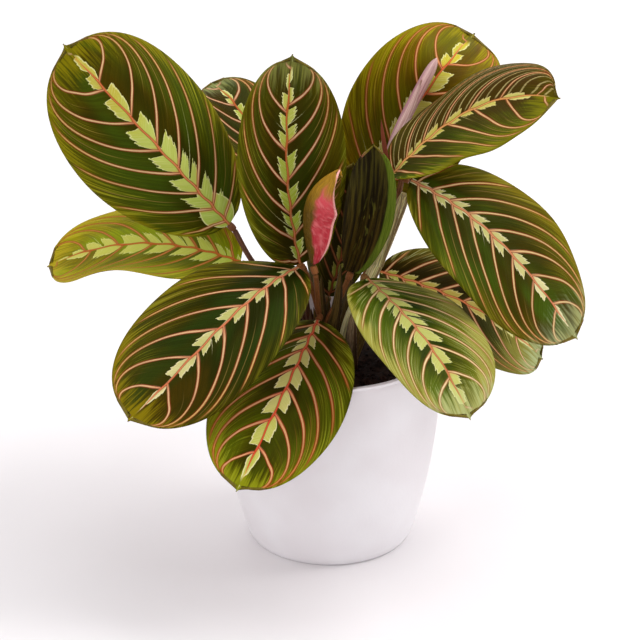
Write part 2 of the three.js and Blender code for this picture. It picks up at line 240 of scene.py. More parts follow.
def noise(place, scale=1.0, detail=2.0, rough=0.5):
    """Smooth noise round 0.5 at a place, or at three numbers of which the first is worked out."""
    if isinstance(place, tuple):
        tree = place[0].tree
        join = tree.nodes.new("ShaderNodeCombineXYZ")
        for slot, value in zip(join.inputs, place):
            put(slot, value)
        place = Field(tree, join.outputs[0])
    node = place.tree.nodes.new("ShaderNodeTexNoise")
    put(node.inputs["Vector"], place)
    node.inputs["Scale"].default_value = scale
    node.inputs["Detail"].default_value = detail
    node.inputs["Roughness"].default_value = rough
    return Field(place.tree, node.outputs[0])


def chance(number):
    """Four numbers from 0 to 1 that stay the same wherever number does."""
    node = number.tree.nodes.new("ShaderNodeTexWhiteNoise")
    node.noise_dimensions = "1D"
    put(node.inputs["W"], number)
    return [Field(number.tree, node.outputs["Value"]), *Field(number.tree, node.outputs["Color"]).parts()]


def new_material(name):
    material = bpy.data.materials.new(name)
    material.use_nodes = True
    tree = material.node_tree
    shader = next(n for n in tree.nodes if n.type == "BSDF_PRINCIPLED")
    return material, tree, shader


def dress(shader, color, roughness, relief, depth, gloss=0.5, gloss_tint=(255, 255, 255)):
    """Gives a shader its colour, roughness and gloss, and a relief that is so many millimetres deep."""
    put(shader.inputs["Base Color"], color)
    put(shader.inputs["Roughness"], roughness)
    put(shader.inputs["Specular IOR Level"], gloss)
    put(shader.inputs["Specular Tint"], tint(*gloss_tint))
    bump = relief.tree.nodes.new("ShaderNodeBump")
    put(bump.inputs["Distance"], depth * MM)
    put(bump.inputs["Height"], relief)
    put(shader.inputs["Normal"], Field(relief.tree, bump.outputs["Normal"]))


# The leaf pattern: its colours, and the numbers that shape it

PALETTE = dict(
    dark=(41, 41, 0),
    dark_tip=(65, 48, 0),
    middle=(88, 86, 3),
    fresh=(60, 84, 11),
    margin=(124, 114, 8),
    streak=(151, 151, 36),
    patch=(176, 188, 84),
    patch_tip=(184, 168, 52),
    cream=(222, 220, 158),
    vein=(212, 173, 126),
    vein_end=(196, 154, 84),
    vein_edge=(128, 50, 26),
    midrib=(204, 106, 62),
)
SHAPE = dict(
    seed=0.0,
    band=0.2,
    base_band=0.5,
    teeth=0.85,
    waist=0.5,
    vein_width=0.58,
    hairlines=0.15,
    left_margin=0.2,
    right_margin=0.2,
    tip_margin=0.86,
    flanks=0.3,
    left_lines=0.0,
    tip_frost=0.0,
    tip_patch=0.3,
)


def leaf_pattern():
    """The node group that draws the face of a leaf from its palette and its shape numbers."""
    tree = bpy.data.node_groups.new("leaf pattern", "ShaderNodeTree")
    sockets = tree.interface
    for name, value in SHAPE.items():
        sockets.new_socket(name, in_out="INPUT", socket_type="NodeSocketFloat").default_value = value
    for name, value in PALETTE.items():
        sockets.new_socket(name, in_out="INPUT", socket_type="NodeSocketColor").default_value = tint(*value)
    for name, kind in (("color", "Color"), ("roughness", "Float"), ("relief", "Float")):
        sockets.new_socket(name, in_out="OUTPUT", socket_type="NodeSocket" + kind)
    source = tree.nodes.new("NodeGroupInput")
    given = SimpleNamespace(**{s.name: Field(tree, s) for s in source.outputs if s.name})
    at = leaf_place(tree, given)
    draw_patches(at, given)
    draw_veins(at, given)
    draw_midrib(at)
    draw_green(at, given)
    sink = tree.nodes.new("NodeGroupOutput")
    put(sink.inputs["color"], leaf_color(at, given))
    put(sink.inputs["roughness"], (at.streak - 0.5) * 0.1 + 0.48 + at.near_margin * 0.06)
    put(sink.inputs["relief"], at.streak * 0.25 + at.fine * 0.2 + at.vein * 0.5 + at.rib * 0.5)
    return tree


def leaf_place(tree, given):
    """Where a point lies among the side veins, and eight chances for each cell between two of them."""
    at = SimpleNamespace()
    at.vein_number, at.across, at.gap = attribute(tree, "lines").parts()
    at.along, at.half, _ = attribute(tree, "spans").parts()
    at.left = at.across.over(0.0)
    at.out = at.across.size()
    at.aside = at.across * at.half
    drift = noise((at.vein_number * 0.9, at.across * 2.2, given.seed), detail=1.0)
    at.number = at.vein_number + at.left * LEFT_SHIFT + (drift - 0.5) * 0.18
    at.inside = at.number.rest()
    at.from_vein = at.inside.low(1 - at.inside)
    cell = at.number.math("FLOOR")
    at.chances = [*chance(cell + at.left * 37.0 + given.seed * 11.0 + 0.5),
                  *chance(cell + at.left * 53.0 + given.seed * 7.0 + 200.5)]
    at.evenly = at.number * (at.number * 0.14 + 1.0)
    at.wobble = noise((at.evenly * 6.0, at.out * 30.0, given.seed), detail=1.0) - 0.5
    return at


def draw_patches(at, given):
    """Light patches along the midrib, each with claws that point outwards and to the leaf's tip."""
    one, two, three, four, five, six, seven, eight = at.chances
    place = at.inside + at.wobble * 0.05
    double = eight.over(1 - given.hairlines)
    star = place / (0.88 - given.waist * 0.18) * (1 - double) + (place * 2.05).rest() * 1.2 * double
    drop = (0.2 - given.waist * 0.12).high(0.06)

    def claw(end, reach, height):
        slope = ((star - end) / reach + 1).high(0.0) ** 1.4
        return slope * star.fall(end - 0.01, end + drop) * height

    claws = claw(one * 0.08 + 0.3, 0.42, three * 0.3 + 0.42)
    claws = claws.high(claw(two * 0.1 + 0.56, 0.5, five * 0.3 + 0.62))
    claws = claws.high(claw(seven * 0.06 + 0.86, 0.62, six * 0.35 + 0.72))
    notch = ((star + at.wobble * 0.12) * 6.0 + three * 3.0).rest()
    claws = claws * (0.8 + notch * 0.36)
    body = star.rise(-0.05, 0.25) * star.fall(0.82, 0.98)
    shape = body * (0.85 - given.teeth * 0.42) + claws * given.teeth * 0.68 + 0.1
    shape = shape.high(at.along.fall(0.05, 0.26) * (given.base_band - 0.6))
    taper = given.band * ((1 - at.along) ** 5.0 * given.base_band + 1.0 - at.along * 0.3)
    taper = taper * (1 - at.along.rise(0.76, 0.93) * (1 - given.tip_patch))
    edge = shape * taper * (0.86 + seven * 0.24)
    at.from_midrib = at.out * at.half
    inwards = (edge * at.half).high(given.flanks * (1 - at.along) * 2.4) - at.from_midrib
    at.patch = inwards.rise(-0.12, 0.18) * at.along.fall(0.92, 0.96)
    at.patch_edge = at.patch * inwards.fall(0.2, 1.1)

    # Hairlines run on outwards from some patches
    hair = ((place - 0.5).size() * at.gap).fall(0.04, 0.24)
    hair = hair * (1 - at.out.rise(edge, edge + four * 0.6 + 0.1))
    at.hair = hair * double * at.out.rise(edge * 0.3, edge * 0.6) * at.along.fall(0.72, 0.82)


def draw_veins(at, given):
    """The side veins with their dark edges and pale flanks, and a finer vein between some of them."""
    at.ruled = at.left * given.left_lines
    wide = given.vein_width * (1 - at.out * 0.42) * (at.out * 4.0 + 0.45).low(1.0) * (1 - at.ruled * 0.35)
    ends = at.out.fall(0.86, 0.98) * at.along.fall(0.93, 0.97)
    nearest = at.from_vein * at.gap
    at.vein = nearest.fall(wide * 0.7, wide * 1.1) * ends
    at.vein_edge = nearest.fall(wide + 0.12, wide + 0.62) * ends
    at.flank = nearest.fall(wide + 0.15, wide + 0.6) * at.out.fall(0.05, 0.2)
    at.vein_glow = nearest.fall(wide + 0.3, wide + 1.5)
    finer = ((at.inside - 0.5).size() * at.gap).fall(0.06, 0.3)
    finer = finer * at.out.rise(0.3, 0.6) * at.out.fall(0.85, 0.97)
    at.finer = finer * at.chances[2].over(0.5) * at.along.fall(0.7, 0.9)


def draw_midrib(at):
    """The midrib: it sways a little from vein to vein, and is wider where one leaves it."""
    sway = (at.vein_number * math.tau + 0.6).math("SINE")
    sway = sway * at.along.rise(0.0, 0.1) * (1 - at.along * 0.5) * 0.45
    from_rib = (at.aside + sway).size()
    wide = (1 - at.along * 0.55) * 0.6 + at.from_vein.fall(0.0, 0.12) * 0.25
    at.rib = from_rib.fall(wide * 0.7, wide * 1.1) * at.along.fall(0.86, 0.95)
    at.rib_edge = from_rib.fall(wide + 0.1, wide + 0.6) * at.along.fall(0.8, 0.92)
    at.rib_core = from_rib.fall(wide * 0.1, wide * 0.45)


def draw_green(at, given):
    """The green cells: dark by the midrib, lighter and streaked towards the margin and the tip."""
    at_tip = at.along.rise(0.74, 0.9)
    streak = noise((at.evenly * 7.0, at.out * 1.6, given.seed)).rise(0.3, 0.7)
    tip_streak = noise((at.aside * 0.7, at.along * 5.0, given.seed + 21.0)).rise(0.35, 0.65)
    streak = streak * (1 - at_tip) + tip_streak * at_tip
    fine = noise((at.evenly * 24.0, at.out * 2.6, given.seed + 3.0), detail=1.0).rise(0.28, 0.72)
    tip_fine = noise((at.aside * 2.6, at.along * 8.0, given.seed + 25.0), detail=1.0).rise(0.3, 0.7)
    fine = fine * (1 - at_tip) + tip_fine * at_tip
    cloud = noise((at.number * 1.1, at.out * 2.4, given.seed + 9.0), detail=1.0).rise(0.25, 0.75)
    fresh = noise((at.number * 0.35, at.across * 1.3, given.seed + 14.0)).rise(0.42, 0.66)
    at.streak, at.fine, at.cloud = streak, fine, cloud

    share = given.right_margin + (given.left_margin - given.right_margin) * at.left
    edge = 1 - share * (at.along * 0.9 + 0.5)
    outer = at.out + (streak - 0.5) * 0.16 + (fine - 0.5) * 0.12 + (cloud - 0.5) * 0.2
    tipward = at.along + (streak - 0.5) * 0.08 + (fine - 0.5) * 0.07 + (cloud - 0.5) * 0.05
    near_tip = tipward.rise(given.tip_margin - 0.02, given.tip_margin + 0.12)
    at.near_margin = outer.rise(edge - 0.06, edge + 0.14).high(near_tip)
    dark = (at.along + (cloud - 0.5) * 0.4).rise(0.3, 0.85).mix(given.dark, given.dark_tip)
    green = outer.rise(edge - 0.62, edge + 0.05).mix(dark, given.middle)
    green = (fresh * 0.75).mix(green, given.fresh)
    green = at.near_margin.mix(green, given.margin)

    calm = 1 - at_tip * 0.5
    shadow = ((1 - streak) * 0.34 + (1 - fine) * 0.22) * calm
    shadow = shadow * (1 - at.near_margin * 0.6) * (1 - near_tip * 0.3)
    green = shadow.mix(green, given.dark)
    light = (fine * 0.6 + streak * 0.5).rise(0.62, 0.95) * outer.rise(edge - 0.4, edge + 0.1)
    light = light * (1 - near_tip * 0.3) * calm
    green = (light * 0.7).mix(green, given.streak)
    green = (at.ruled * 0.7).mix(green, given.dark_tip)
    lines = (((at.inside + at.wobble * 0.04) * 3.0).rest() - 0.5).size().fall(0.03, 0.12) * at.ruled
    lines = lines * at.out.rise(0.02, 0.1) * (fine * 0.5 + 0.25)
    at.green = lines.mix(green, given.cream)


def patch_color(at, given):
    """Green at the leaf's base, cream at the patch's edge, and reddened by the midrib and the veins."""
    color = (at.along + (at.cloud - 0.5) * 0.3).rise(0.4, 0.9).mix(given.patch, given.patch_tip)
    greener = at.along.fall(0.06, 0.3) * (given.base_band + 0.2).low(0.9) * 0.6
    color = greener.mix(color, tint(148, 182, 62))
    color = ((at.fine - 0.4).high(0.0) * 0.5).mix(color, given.cream)
    color = (at.patch_edge * 0.85).mix(color, given.cream)
    rib_glow = at.from_midrib.fall(0.4, 1.8) * at.from_vein.fall(0.05, 0.3)
    color = (rib_glow * 0.55).mix(color, given.midrib)
    return (at.vein_glow * 0.45).mix(color, given.midrib)


def leaf_color(at, given):
    """Patches, veins and midrib over the green, and a pale painted sheen over the tip of some leaves."""
    color = at.patch.mix(at.green, patch_color(at, given))
    color = (at.flank * given.flanks).mix(color, given.cream)
    color = (at.hair * 0.75).mix(color, given.cream)
    color = (at.finer * 0.3).mix(color, given.vein_end)
    color = (at.vein_edge * 0.92).mix(color, given.vein_edge)
    color = (at.rib_edge * 0.7).mix(color, given.vein_edge)
    vein = at.out.rise(0.45, 0.95).mix(given.vein, given.vein_end)
    vein = (at.out.fall(0.03, 0.2) * 0.55).mix(vein, given.midrib)
    mottle = (at.cloud * 0.5 + at.chances[3] * 0.3).rise(0.3, 0.8)
    vein = (mottle * 0.3).mix(vein, given.vein_edge)
    color = at.vein.mix(color, vein)
    color = at.rib.mix(color, given.midrib)
    color = (at.rib * at.rib_core * at.along.fall(0.1, 0.8) * 0.5).mix(color, given.vein)
    # Painted highlight: a pale sheen laid over the tip of some leaves.
    painted_sheen = (at.along + (at.streak - 0.5) * 0.1).rise(0.8, 1.02) * given.tip_frost
    return painted_sheen.mix(color, tint(180, 196, 150))


LEAF_PATTERN = leaf_pattern()


def leaf_material(name, palette, shape):
    material, tree, shader = new_material(name)
    pattern = tree.nodes.new("ShaderNodeGroup")
    pattern.node_tree = LEAF_PATTERN
    for key, value in {**SHAPE, **shape}.items():
        pattern.inputs[key].default_value = value
    for key, value in {**PALETTE, **palette}.items():
        pattern.inputs[key].default_value = tint(*value)
    color, roughness, relief = [Field(tree, out) for out in pattern.outputs]
    dress(shader, color, roughness, relief, 0.35, gloss=0.08, gloss_tint=(250, 255, 150))
    return material


UNDERSIDE = dict(
    dark=(104, 40, 52), dark_tip=(110, 44, 50), middle=(112, 60, 50), fresh=(96, 52, 44),
    margin=(104, 96, 30), streak=(160, 104, 96), patch=(150, 110, 90), patch_tip=(146, 96, 76),
    cream=(172, 128, 112), vein=(178, 96, 98), vein_end=(160, 90, 80), vein_edge=(96, 34, 44),
    midrib=(190, 130, 110))


def rolled_material():
    """The back of the rolled young leaf: olive to orange at its left and top, wrinkled pink-red within."""
    material, tree, shader = new_material("rolled young leaf")
    _, across, _ = attribute(tree, "lines").parts()
    along, _, _ = attribute(tree, "spans").parts()
    out = across.size()
    cloud = noise((along * 5.0, out * 2.5, 7.0)) - 0.5
    wrinkle = noise((along * 20.0 + out * 5.0, out * 5.0, 2.0)).rise(0.42, 0.72)
    streak = noise((along * 2.5, out * 18.0, 4.0)).rise(0.3, 0.7)
    red = (along + cloud * 0.5).rise(0.3, 0.8).mix(tint(166, 36, 48), tint(206, 74, 82))
    red = (wrinkle * 0.5).mix(red, tint(228, 130, 130))
    red = (streak * 0.3).mix(red, tint(206, 76, 84))
    skin = (along + cloud * 0.3).rise(0.45, 0.95).mix(tint(98, 72, 14), tint(190, 142, 40))
    skin = (streak * 0.4).mix(skin, tint(66, 52, 10))
    red_share = (out + cloud * 0.35).rise(0.34, 0.5) * (along + cloud * 0.25 + out * 0.04).fall(0.8, 0.92)
    color = red_share.mix(skin, red)
    color = (out.rise(0.9, 0.96) * across.over(0.0)).mix(color, tint(234, 166, 160))
    relief = wrinkle * 0.7 + streak * 0.3
    dress(shader, color, (wrinkle - 0.5) * 0.12 + 0.5, relief, 0.6, gloss=0.15)
    return material


def folded_material():
    """Folded young leaf in painted shade: dark streaks along it, pale flecks by its fold, an edge lit green.
    """
    material, tree, shader = new_material("folded young leaf")
    _, across, _ = attribute(tree, "lines").parts()
    along, half, _ = attribute(tree, "spans").parts()
    out = across.size()
    aside = across * half
    cloud = noise((along * 4.0, aside * 0.12, 3.0)) - 0.5
    shade_streak = noise((along * 2.6, aside * 0.42, 6.0)).rise(0.38, 0.6)
    sheen_streak = noise((along * 5.0, aside * 1.6, 8.0)).rise(0.35, 0.65)
    # Painted shade: dark olive all over and nearly black streaks along the leaf; the lighter streaks are
    # painted sheen.
    color = (along + cloud * 0.4).rise(0.25, 0.8).mix(tint(72, 54, 16), tint(64, 58, 16))
    color = (sheen_streak * 0.22).mix(color, tint(100, 90, 32))
    color = (shade_streak * 0.88).mix(color, tint(20, 11, 4))
    fleck = noise((along * 15.0 + out * 3.0, aside * 0.45, 5.0), detail=1.0).rise(0.58, 0.68)
    fleck = fleck * out.fall(0.2, 0.5) * along.fall(0.45, 0.7)
    color = (fleck * 0.6).mix(color, tint(110, 108, 40))
    # Painted light, with the leaf's own lighter margin: one edge bright green, brighter still in streaks.
    lit_edge = (across * -1.0 + cloud * 0.12).rise(0.62, 0.74)
    color = (lit_edge * 0.9).mix(color, tint(84, 104, 22))
    color = (lit_edge * sheen_streak * 0.4).mix(color, tint(128, 140, 48))
    dress(shader, color, 0.55, shade_streak * 0.5 + sheen_streak * 0.5, 0.4, gloss=0.08)
    return material


# Meshes

def mapped_grid(bm, rows, columns, place):
    """A grid whose points place() moves, given how far along (0 to 1) and across (-1 to 1) each one is."""
    made = bmesh.ops.create_grid(bm, x_segments=rows, y_segments=columns, size=0.5)["verts"]
    flat = np.array([v.co for v in made])
    along = flat[:, 0] + 0.5
    across = flat[:, 1] * 2
    for vertex, point in zip(made, place(along, across) * MM):
        vertex.co = point
    return made, along, across


def finished(bm, name, *materials):
    mesh = bpy.data.meshes.new(name)
    bm.to_mesh(mesh)
    bm.free()
    for material in materials:
        mesh.materials.append(material)
    mesh.shade_smooth()
    piece = bpy.data.objects.new(name, mesh)
    bpy.context.scene.collection.objects.link(piece)
    return piece


def unit(a):
    return a / np.linalg.norm(a, axis=-1, keepdims=True)


class Blade:
    """The surface of one leaf, by the same formulas as its solid."""

    def __init__(self, leaf):
        self.leaf = leaf
        self.base = np.array(leaf["base"], float)
        reach = np.array(leaf["tip"], float) - self.base
        self.chord = float(np.linalg.norm(reach))
        self.axis = reach / self.chord
        face = np.array(leaf["face"], float)
        self.up = unit(face - self.axis * (face @ self.axis))
        self.side = np.cross(self.up, self.axis)
        self.step, self.growth = leaf.get("steps", (0.066, 0.0098))
        self.half = leaf["width"] / 2

    def leaves_midrib(self, number):
        """Where vein number leaves the midrib, as a share of the leaf's length."""
        return VEIN_START + self.step * number + self.growth * number ** 2

    def numbers(self):
        """The vein numbers of the leaf's base and tip."""
        roots = [math.sqrt(self.step ** 2 + 4 * self.growth * (f - VEIN_START)) for f in (0, 1)]
        return [(root - self.step) / (2 * self.growth) for root in roots]

    def midrib(self, s):
        leaf = self.leaf
        s = s[..., None]
        hump = 4 * s * (1 - s)
        rise = leaf.get("arch", 0) * hump * (1 + leaf.get("skew", 0) * (2 * s - 1))
        return (self.base + self.axis * self.chord * s + self.up * self.chord * rise
                + self.side * self.chord * leaf.get("bow", 0) * hump)

    def frame(self, s):
        """The directions out of the blade's upper face and to its left at a share of its length."""
        step = 1e-3
        tangent = unit(self.midrib(s + step) - self.midrib(s - step))
        normal = unit(self.up - tangent * (tangent @ self.up)[..., None])
        side = np.cross(normal, tangent)
        turn = (math.radians(self.leaf.get("twist", 0)) * (s - 0.5))[..., None]
        return (normal * np.cos(turn) + side * np.sin(turn), side * np.cos(turn) - normal * np.sin(turn))

    def point(self, number, across):
        """Points of the upper face, how far along each lies, and the half width there."""
        leaf = self.leaf
        sign = np.where(across < 0, -1.0, 1.0)
        out = np.abs(across)
        f = np.clip(self.leaves_midrib(number), 0, 1)
        reach = 1 - np.maximum((1 - f) ** MARGIN_SWEEP, MARGIN_CREEP * (1 - f))
        lean = VEIN_LEAN + VEIN_LEAN_GROWTH * f
        x = f + (reach - f) * (lean * out + (1 - lean) * out ** VEIN_CURVE)
        u = np.clip(x / OVAL_END, 0, 1) ** OVAL_LEAN
        oval = np.sqrt(np.clip(4 * u * (1 - u), 0, None)) ** OVAL_FULLNESS
        point = POINT_WIDTH * (np.clip(1 - x, 0, 1) / (1 - POINT_START)) ** POINT_TAPER
        outline = np.where(x > POINT_START, np.maximum(oval, point), oval)
        half = outline * self.half * (1 + sign * leaf.get("lop", 0))
        q = half * out

        def sided(key):
            left, right = leaf.get(key, (8, 8))
            return np.radians(np.where(sign > 0, left, right))

        fold = sided("fold") * (1 - FOLD_FADE * x)
        bend = sided("curl") / self.half
        bend = np.where(np.abs(bend) < LEAST_BEND, LEAST_BEND, bend)
        width = (np.sin(fold + bend * q) - np.sin(fold)) / bend
        lift = (np.cos(fold) - np.cos(fold + bend * q)) / bend
        height, waves, start = leaf.get("wave", (1, 2.2, 0))
        phase = waves * x + start + np.where(sign < 0, RIGHT_WAVE_START, 0)
        fade = np.clip(outline / RELIEF_FADE, 0, 1)
        lift = lift + height * out ** 2 * np.sin(2 * np.pi * phase) * fade
        shifted = number + LEFT_SHIFT * (sign > 0)
        ridge = -np.cos(2 * np.pi * shifted) * PLEAT * np.clip(out * 5, 0, 1) * (1 - out ** 2)
        lift = lift + ridge * fade
        normal, side = self.frame(x)
        place = self.midrib(x) + side * (sign * width)[..., None] + normal * lift[..., None]
        return place, x, half

    def gaps(self, number, across):
        """How far one vein lies from the next at each point, in millimetres."""
        small = 1e-3
        inner = across * (1 - small)
        here = self.point(number, inner)[0]
        on = self.point(number + small, inner)[0] - here
        out = self.point(number, inner + np.where(across < 0, -small, small) * 0.5)[0] - here
        out = out / np.maximum(np.linalg.norm(out, axis=-1, keepdims=True), 1e-9)
        return np.linalg.norm(np.cross(on, out), axis=-1) / small


def leaf_piece(leaf, upper, under):
    """One leaf: a fine grid along its veins, given its thickness and keel by a Solidify modifier."""
    blade = Blade(leaf)
    first, last = blade.numbers()
    rows = int(blade.chord * ROWS_PER_MM) + MORE_ROWS
    columns = 2 * int(leaf["width"] * COLUMNS_PER_MM / 2) + MORE_COLUMNS
    bm = bmesh.new()
    lines = bm.verts.layers.float_vector.new("lines")
    spans = bm.verts.layers.float_vector.new("spans")
    weights = bm.verts.layers.deform.verify()

    def numbered(along, across):
        return first + (last - first) * along, np.sign(across) * np.abs(across) ** COLUMN_CROWDING

    def place(along, across):
        return blade.point(*numbered(along, across))[0]

    made, along, across = mapped_grid(bm, rows, columns, place)
    number, across = numbered(along, across)
    _, x, half = blade.point(number, across)
    gap = blade.gaps(number, across)
    out = np.abs(across)
    keel = KEEL_HEIGHT * (1 - x) * np.clip(1 - out / KEEL_EDGE, 0, 1)
    edge = np.clip((out - THIN_MARGIN_START) / (1 - THIN_MARGIN_START), 0, 1)
    depth = BLADE_THICKNESS - (BLADE_THICKNESS - MARGIN_THICKNESS) * edge + keel
    full = BLADE_THICKNESS + KEEL_HEIGHT
    for vertex, n, r, g, s, h, d in zip(made, number, across, gap, x, half, depth):
        vertex[lines] = (n, r, g)
        vertex[spans] = (s, h, 0)
        vertex[weights][0] = d / full
    bmesh.ops.remove_doubles(bm, verts=bm.verts, dist=POLE_WELD)
    piece = finished(bm, leaf["name"] + "_blade", upper, under)
    piece.vertex_groups.new(name="thickness")
    shell = piece.modifiers.new("thickness", "SOLIDIFY")
    shell.thickness = full * MM
    shell.offset = -1
    shell.use_rim = True
    shell.vertex_group = "thickness"
    shell.material_offset = 1
    shell.material_offset_rim = 0
    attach(piece, "root")
    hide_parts(leaf["name"])


# The leaves as they stand in the photograph, seen from the front. base, tip, face and the numbers up to
# wave repeat the source's poses, and via is the way of the stalk. steps gives the spacing of the side
# veins, look the palette, and marks what differs from SHAPE.
LEAVES = [
    dict(name="leaf_01", shoot="shoot_left", via=[(-14, 6, 132), (-44, 3, 170)],
         base=(-57, 2, 194), tip=(-147, -19, 312.9), face=(0.32, -0.94, 0.07), width=88,
         arch=0.04, fold=(-5, -11), curl=(-3, -29), twist=-3, wave=(1, 2, 0.1), steps=(0.068, 0.0098),
         marks=dict(band=0.205, base_band=1.7, tip_patch=0.6, vein_width=0.62, left_margin=0.11,
                    right_margin=0.08)),
    dict(name="leaf_02", shoot="shoot_left", via=[(-12, 9, 130), (-34, 12, 158)], slot="leaf_yellowed",
         base=(-51, 12, 166), tip=(-164, 48, 146), face=(-0.25, -0.28, 0.93), width=72,
         arch=0.1, bow=-0.04, lop=0.03, fold=(-7, 6), curl=(44, -8), wave=(2.2, 1.8, 0.3),
         look="yellowed",
         marks=dict(band=0.28, vein_width=0.42)),
    dict(name="leaf_03", shoot="shoot_back", via=[(-6, 20, 150)],
         base=(-26, 28, 204), tip=(-69, 85, 246), face=(0.16, -0.51, 0.85), width=50,
         arch=0.12, skew=0.5, fold=(12, 5), curl=(11, 1), wave=(1.6, 2, 0), steps=(0.08, 0.0115),
         look="dark",
         marks=dict(waist=0.8, tip_frost=0.25, left_margin=0.0, right_margin=0.02)),
    dict(name="leaf_04", shoot="shoot_left", via=[(-13, 3, 140)],
         base=(-17, 0, 170), tip=(-21, 17, 292), face=(0.13, -0.98, 0.14), width=67,
         arch=0.04, skew=0.2, bow=0.05, fold=(31, 8), curl=(6, 8), twist=-3, wave=(0.6, 2, 0.2),
         steps=(0.1, 0.0095), look="dark",
         marks=dict(band=0.215, base_band=0.2, waist=1.0, tip_patch=0.6, tip_frost=0.12, teeth=1.0,
                    hairlines=0.35, left_margin=0.16, right_margin=0.08)),
    dict(name="leaf_05", shoot="shoot_centre", via=[(-8, -9, 150)],
         base=(-18, -16, 176), tip=(-112, -103, 123), face=(0.02, -0.54, 0.84), width=82,
         arch=0.07, skew=-1.1, lop=-0.09, fold=(4, -11), curl=(0, -6), twist=10, wave=(0.8, 2, 0.4),
         steps=(0.066, 0.0105), look="cream",
         marks=dict(band=0.15, base_band=0.1, tip_patch=0.15, waist=1.2, flanks=0.5, vein_width=0.64,
                    left_margin=-0.22, right_margin=0.15)),
    dict(name="leaf_06", shoot="shoot_centre", via=[(-3, -6, 128)],
         base=(-7, -14, 142), tip=(-52, -121.6, 89), face=(0.01, -0.46, 0.89), width=75,
         arch=0.07, bow=0.02, fold=(1, -9), curl=(-3, 5), twist=2, wave=(0.8, 2, 0.7),
         steps=(0.066, 0.0105), look="red veined",
         marks=dict(band=0.22, base_band=0.1, tip_patch=0.5, teeth=0.5, tip_margin=0.87,
                    left_margin=0.1, right_margin=0.28, vein_width=0.72, flanks=0.5)),
    dict(name="leaf_07", shoot="shoot_right", via=[(20, 14, 150)],
         base=(18, 48, 190), tip=(83, 84, 277), face=(-0.06, -0.91, 0.41), width=78,
         arch=0.27, skew=1.4, bow=0.02, lop=-0.05, fold=(6, 20), curl=(-2, 8), twist=2,
         wave=(1.3, 2, 0.3), look="golden",
         marks=dict(band=0.22, tip_patch=0.9, waist=0.7, tip_margin=0.92)),
    dict(name="leaf_08", shoot="shoot_right", start=(34, 3, 188), via=[],
         base=(34, 0, 225), tip=(127, -20, 281), face=(-0.55, -0.14, 0.82), width=67,
         arch=0.09, skew=0.3, bow=0.11, lop=-0.08, fold=(46, -11), curl=(-72, -2), twist=-18,
         steps=(0.08, 0.0115), look="striped",
         marks=dict(band=0.14, base_band=0.3, waist=0.9, teeth=1.0, left_lines=1.0, left_margin=0.02,
                    right_margin=0.22)),
    dict(name="leaf_09", shoot="shoot_right", start=(35, 3, 192), via=[],
         base=(45, -1, 223), tip=(140, -27, 136), face=(0.42, -0.64, 0.65), width=75,
         arch=0.1, skew=-0.4, bow=0.02, lop=-0.04, fold=(5, 0), curl=(-6, -6), twist=5,
         steps=(0.062, 0.0075), look="olive",
         marks=dict(band=0.16, base_band=0.3, waist=1.5, flanks=0.7, tip_frost=0.42, left_margin=0.14,
                    right_margin=-0.1, tip_margin=0.88)),
    dict(name="leaf_10", shoot="shoot_front", via=[(21, -3, 132), (25, 5, 146)],
         base=(28, 12, 160), tip=(123, 18, 101), face=(0.44, -0.61, 0.66), width=64,
         arch=0.13, lop=-0.03, fold=(5, 11), curl=(5, 7), wave=(1.8, 2, 0.2), look="shaded",
         marks=dict(band=0.16, waist=0.8, tip_margin=0.66, tip_frost=0.6)),
    dict(name="leaf_11", shoot="shoot_front", via=[(17, -9, 140)], slot="leaf_pale",
         base=(21, -14, 168), tip=(77, -111, 128), face=(0.09, -0.33, 0.94), width=70,
         arch=0.1, skew=0.3, fold=(-1, 8), curl=(-11, 10), twist=-7, wave=(1, 2, 0.6), look="pale",
         marks=dict(band=0.26, base_band=0.2, waist=0.7, tip_patch=0.7, tip_frost=0.4,
                    left_margin=0.36, right_margin=0.28)),
    dict(name="leaf_12", shoot="shoot_centre", via=[(-6, -7, 140)], slot="leaf_rolled",
         base=(-9, -22, 180), tip=(6, -20, 238), face=(0.95, -0.3, 0.05), width=44,
         arch=-0.22, skew=0.25, fold=(30, 38), curl=(120, 28), wave=(0.5, 2, 0), steps=(0.1, 0.01),
         marks=dict(band=0.15)),
    dict(name="leaf_13", shoot="shoot_centre", via=[(-2, -10, 138), (6, -8, 154)], slot="leaf_folded",
         base=(12, -2, 166), tip=(24, -3, 246), face=(0.1, -0.95, 0.1), width=37,
         arch=0, bow=-0.05, lop=0.08, fold=(45, 52), curl=(0, 0), wave=(0.5, 2, 0),
         steps=(0.08, 0.0115)),
    dict(name="leaf_18", shoot="shoot_back", via=[(0, 18, 130)],
         base=(-1, 16, 142), tip=(13, 23, 223), face=(-0.12, -0.98, 0.1), width=34,
         arch=0.02, bow=-0.04, fold=(6, 6), curl=(4, 4), wave=(0.4, 2, 0.3), steps=(0.1, 0.01),
         look="inner"),
    dict(name="leaf_15", shoot="shoot_back", via=[(-4, 26, 155)],
         base=(-6, 52, 196), tip=(22, 150, 188), face=(0, -0.1, 1), width=58, arch=0.12),
    dict(name="leaf_16", shoot="shoot_back", via=[(-8, 22, 140)],
         base=(-20, 38, 192), tip=(-74, 112, 186), face=(-0.1, -0.1, 1), width=54, arch=0.14),
    dict(name="leaf_17", shoot="shoot_back", via=[(12, 34, 150)],
         base=(35, 60, 184), tip=(90, 112, 164), face=(0.2, 0, 1), width=54, arch=0.13,
         steps=(0.08, 0.0115)),
]
